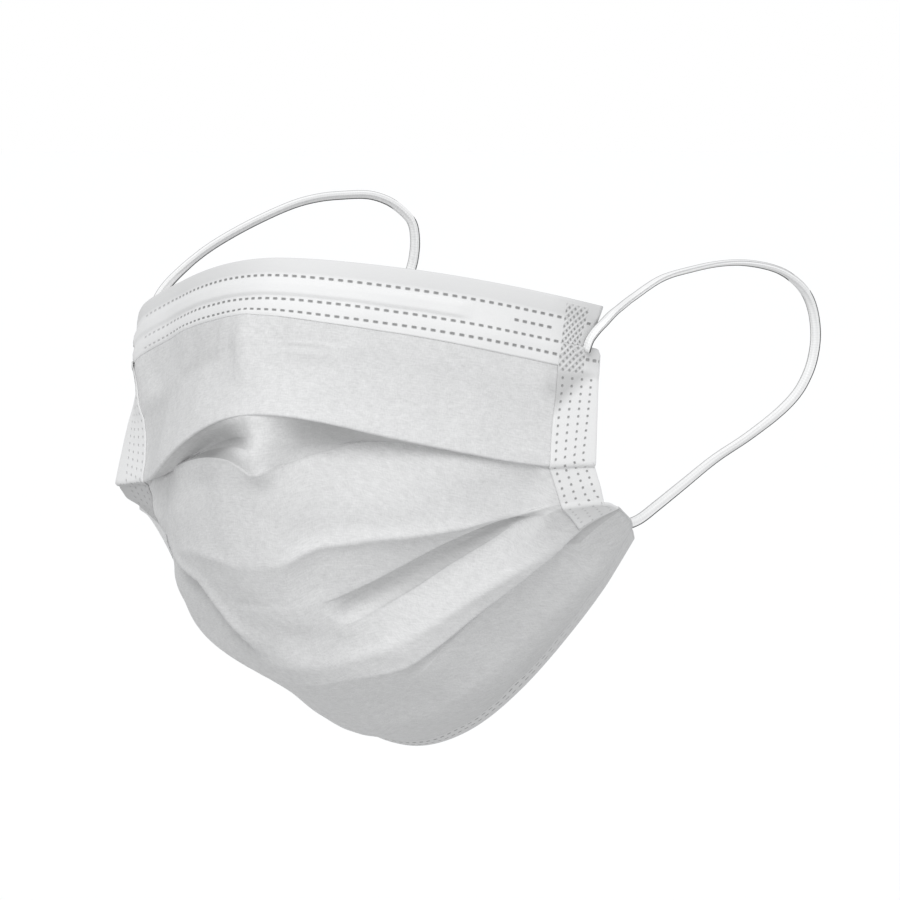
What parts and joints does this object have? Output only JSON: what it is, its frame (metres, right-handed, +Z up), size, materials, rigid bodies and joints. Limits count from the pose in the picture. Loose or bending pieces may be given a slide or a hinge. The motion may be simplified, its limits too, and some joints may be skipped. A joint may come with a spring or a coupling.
{
  "type": "surgical face mask",
  "caption": "Pleated non-woven face mask opened out as worn, with a top hem over a nose wire, a bottom hem, welded side bands and elastic ear loops.",
  "frame": {"origin": "middle of the top edge, where the hem lies on the bridge of the wearer's nose", "axes": "+Z up the wearer's face, -Y the way the mask faces, +Y the way the wearer's head lies, +X the wearer's left"},
  "size_m": [0.1695, 0.1379, 0.1427],
  "materials": {
    "nonwoven_fabric": "matt light grey spun-bonded non-woven",
    "binding_strip": "matt white non-woven with rows of weld dots",
    "elastic_cord": "white knitted elastic",
    "coated_wire": "plastic-coated flat wire, hidden in the hem"
  },
  "bodies": {
    "root": {"mask_body": "nonwoven_fabric", "top_hem": "binding_strip", "nose_wire": "coated_wire", "bottom_hem": "binding_strip", "side_band_left": "binding_strip", "side_band_right": "binding_strip", "ear_loop_left": "elastic_cord", "ear_loop_right": "elastic_cord"}
  },
  "joints": []
}
